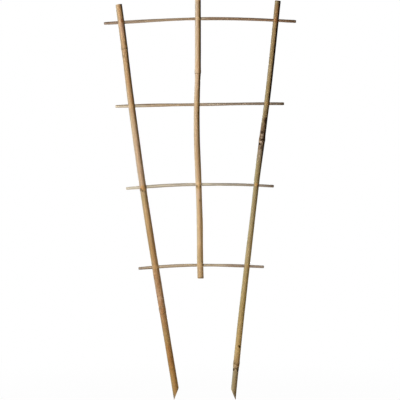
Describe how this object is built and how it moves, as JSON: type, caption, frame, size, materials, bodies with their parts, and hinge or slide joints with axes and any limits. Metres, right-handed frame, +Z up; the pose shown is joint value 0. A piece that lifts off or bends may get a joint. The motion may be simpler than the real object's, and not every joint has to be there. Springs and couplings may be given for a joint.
{
  "type": "bamboo trellis",
  "caption": "Flat V-shaped bamboo plant trellis: splayed legs cut to slanted points, a shorter centre cane, and thin rungs threaded through drilled holes.",
  "frame": {"origin": "on the soil line, midway between the two legs where they enter the soil; the legs' points lie 120 mm below it", "axes": "+Z up along the trellis, +X to the right as seen from the front, +Y from the front to the back, across the flat trellis"},
  "size_m": [0.2884, 0.0142, 0.5998],
  "materials": {
    "tan_cane": "dry bamboo skin, tan with reddish mottling, satin",
    "pale_cane": "dry bamboo skin, pale tan, satin",
    "olive_cane": "dry bamboo skin, olive brown with dark blotches, satin",
    "rung_stick": "thin bamboo stick, greyish tan, matt"
  },
  "bodies": {
    "root": {"left_upright": "tan_cane", "centre_upright": "pale_cane", "right_upright": "olive_cane", "top_rung": "rung_stick", "second_rung": "rung_stick", "third_rung": "rung_stick", "bottom_rung": "rung_stick"}
  },
  "joints": []
}
